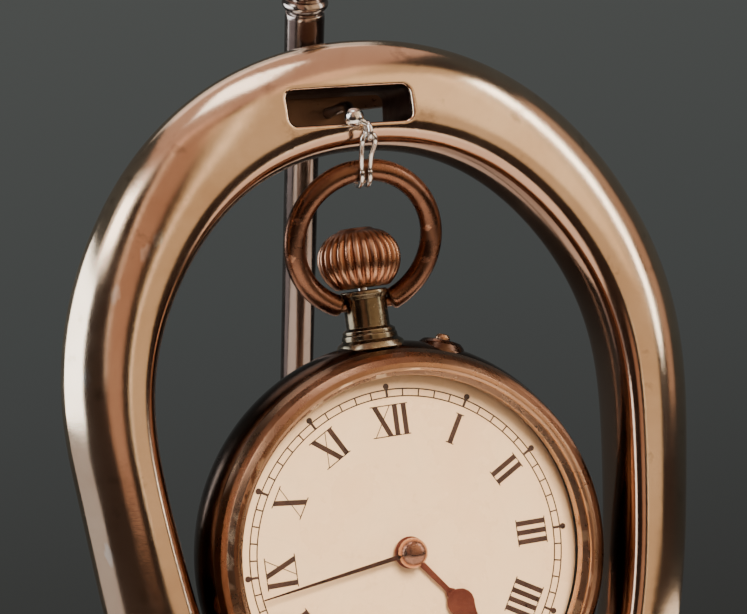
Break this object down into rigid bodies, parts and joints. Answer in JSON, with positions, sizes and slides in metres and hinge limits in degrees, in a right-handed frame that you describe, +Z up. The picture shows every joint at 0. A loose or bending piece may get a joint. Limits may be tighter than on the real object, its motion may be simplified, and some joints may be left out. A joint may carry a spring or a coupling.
{
  "type": "pocket watch display stand",
  "caption": "Stirrup-shaped arch stand on a tread plate with a folding rear strut, holding an open-face keyless pocket watch on a wire hook.",
  "frame": {"origin": "middle of the tread plate's underside, on the table", "axes": "+Z up; the dial faces -Y; +X to the right of someone reading the dial; the strut leans back towards +Y"},
  "size_m": [0.0764, 0.0856, 0.1186],
  "materials": {
    "plated_stand": "polished nickel plate",
    "plated_strut": "polished nickel plate",
    "hook_wire": "bright silvered wire",
    "copper_case": "darkened polished copper alloy",
    "rose_bezel": "polished rose copper",
    "bow_copper": "worn copper",
    "crown_copper": "worn ribbed copper",
    "enamel": "glazed enamel",
    "watch_glass": "clear",
    "blued_hand": "dark oxidised",
    "red_hand": "heat coloured",
    "gilt_brass": "gilt",
    "nickel_bridge": "matt nickel",
    "steel": "polished steel",
    "blued_steel": "blued",
    "foot_rubber": "matt"
  },
  "bodies": {
    "stand": {"stirrup_arch": "plated_stand", "tread_plate": "plated_stand", "tread_screws": "steel", "strut_bracket": "plated_strut", "bracket_screws": "steel", "hook_stem": "hook_wire", "hinge_pin": "steel"},
    "strut": {"strut_rod": "plated_strut", "strut_ferrule": "plated_strut", "strut_collar": "plated_strut", "strut_finial": "plated_strut", "strut_foot": "foot_rubber"},
    "hook": {"hook_link": "hook_wire"},
    "bow": {"pendant_bow": "bow_copper"},
    "case": {"case_band": "copper_case", "main_plate": "gilt_brass", "barrel_bridge": "nickel_bridge", "train_bridge": "nickel_bridge", "balance_cock": "nickel_bridge", "bridge_screws": "blued_steel", "dial": "enamel", "case_screws": "blued_steel", "bezel_hinge_pin": "steel", "back_hinge_pin": "steel", "button_spring": "steel"},
    "front_bezel": {"bezel": "rose_bezel", "crystal": "watch_glass"},
    "back": {"back_cover": "copper_case"},
    "dust_cover": {"inner_cover": "gilt_brass"},
    "winder": {"winding_crown": "crown_copper", "winding_stem": "steel"},
    "set_button": {"setting_button": "copper_case"},
    "minute": {"cannon_pinion": "steel", "minute_hand": "blued_hand", "centre_cap": "rose_bezel"},
    "hour": {"hour_wheel": "gilt_brass", "hour_hand": "red_hand"},
    "motion_wheel": {"minute_wheel": "gilt_brass"},
    "centre": {"centre_wheel": "gilt_brass"},
    "third": {"third_wheel": "gilt_brass"},
    "fourth": {"fourth_wheel": "gilt_brass"},
    "escape": {"escape_wheel": "steel"},
    "lever": {"pallet_lever": "steel"},
    "balance": {"balance_wheel": "gilt_brass", "hairspring": "blued_steel"},
    "going_barrel": {"barrel_drum": "gilt_brass", "mainspring": "blued_steel"},
    "ratchet": {"barrel_arbor": "steel", "ratchet_wheel": "steel"},
    "crown_gear": {"crown_wheel": "steel"},
    "click": {"ratchet_click": "steel"}
  },
  "joints": [
    {"name": "strut_fold", "type": "hinge", "parent": "stand", "child": "strut", "pos_m": [0, 0.01677, 0.094], "axis": [-1, 0, 0], "range_deg": [0, 26]},
    {"name": "hook_swing", "type": "hinge", "parent": "stand", "child": "hook", "pos_m": [0, -0.0074, 0.08692], "axis": [1, 0, 0], "range_deg": [-20, 2]},
    {"name": "bow_sway", "type": "hinge", "parent": "hook", "child": "bow", "pos_m": [0, -0.00288, 0.0831], "axis": [0, 1, 0], "range_deg": [-1.2, 1.2]},
    {"name": "case_tilt", "type": "hinge", "parent": "bow", "child": "case", "pos_m": [0, 0.0028, 0.0675], "axis": [1, 0, 0], "range_deg": [-30, 3]},
    {"name": "bezel_open", "type": "hinge", "parent": "case", "child": "front_bezel", "pos_m": [0, -0.0024, 0.0134], "axis": [1, 0, 0], "range_deg": [0, 80]},
    {"name": "back_open", "type": "hinge", "parent": "case", "child": "back", "pos_m": [0, 0.0064, 0.0134], "axis": [1, 0, 0], "range_deg": [-38, 0]},
    {"name": "inner_cover_open", "type": "hinge", "parent": "case", "child": "dust_cover", "pos_m": [0, 0.0064, 0.0134], "axis": [1, 0, 0], "range_deg": [-29, 0]},
    {"name": "crown_turn", "type": "hinge", "parent": "case", "child": "winder", "pos_m": [0, 0.0028, 0.072], "axis": [0, 0, 1], "continuous": true},
    {"name": "crown_wheel_turn", "type": "hinge", "parent": "case", "child": "crown_gear", "pos_m": [0.0006, -0.0008, 0.0502], "axis": [0, 1, 0], "continuous": true},
    {"name": "ratchet_turn", "type": "hinge", "parent": "case", "child": "ratchet", "pos_m": [-0.0082, -0.0008, 0.0445], "axis": [0, 1, 0], "continuous": true},
    {"name": "click_lift", "type": "hinge", "parent": "case", "child": "click", "pos_m": [-0.0166, -0.0008, 0.0477], "axis": [0, 1, 0], "range_deg": [0, 8], "stiffness_Nm_per_rad": 0.00002},
    {"name": "setting_push", "type": "slide", "parent": "case", "child": "set_button", "axis": [-0.342, 0, -0.9397], "range_m": [0, 0.0008], "stiffness_N_per_m": 200},
    {"name": "minute_hand_turn", "type": "hinge", "parent": "case", "child": "minute", "pos_m": [0, -0.0008, 0.038], "axis": [0, 1, 0], "continuous": true},
    {"name": "minute_wheel_turn", "type": "hinge", "parent": "case", "child": "motion_wheel", "pos_m": [0.00416, -0.0008, 0.0356], "axis": [0, 1, 0], "continuous": true},
    {"name": "hour_hand_turn", "type": "hinge", "parent": "case", "child": "hour", "pos_m": [0, -0.0008, 0.038], "axis": [0, 1, 0], "continuous": true},
    {"name": "fourth_turn", "type": "hinge", "parent": "case", "child": "fourth", "pos_m": [0.003, -0.0008, 0.0314], "axis": [0, 1, 0], "continuous": true},
    {"name": "third_turn", "type": "hinge", "parent": "case", "child": "third", "pos_m": [0.0074, -0.0008, 0.0361], "axis": [0, 1, 0], "continuous": true},
    {"name": "centre_turn", "type": "hinge", "parent": "case", "child": "centre", "pos_m": [0, -0.0008, 0.038], "axis": [0, 1, 0], "continuous": true},
    {"name": "barrel_turn", "type": "hinge", "parent": "case", "child": "going_barrel", "pos_m": [-0.0082, -0.0008, 0.0445], "axis": [0, 1, 0], "continuous": true},
    {"name": "escape_turn", "type": "hinge", "parent": "case", "child": "escape", "pos_m": [-0.00196, -0.0008, 0.02959], "axis": [0, 1, 0], "continuous": true},
    {"name": "lever_rock", "type": "hinge", "parent": "case", "child": "lever", "pos_m": [-0.00655, -0.0008, 0.02988], "axis": [0, 1, 0], "range_deg": [-3, 3]},
    {"name": "balance_swing", "type": "hinge", "parent": "case", "child": "balance", "pos_m": [-0.0102, -0.0008, 0.0301], "axis": [0, 1, 0], "range_deg": [-120, 120], "stiffness_Nm_per_rad": 0.0000005}
  ],
  "couplings": [
    {"joint": "inner_cover_open", "follows": "back_open", "ratio": 0.75},
    {"joint": "crown_wheel_turn", "follows": "crown_turn", "ratio": 0.5},
    {"joint": "ratchet_turn", "follows": "crown_turn", "ratio": -0.37838},
    {"joint": "minute_wheel_turn", "follows": "minute_hand_turn", "ratio": -0.33333},
    {"joint": "hour_hand_turn", "follows": "minute_hand_turn", "ratio": 0.083333},
    {"joint": "third_turn", "follows": "fourth_turn", "ratio": -0.13333},
    {"joint": "centre_turn", "follows": "fourth_turn", "ratio": 0.016667},
    {"joint": "barrel_turn", "follows": "fourth_turn", "ratio": -0.0023148},
    {"joint": "escape_turn", "follows": "fourth_turn", "ratio": -10}
  ]
}
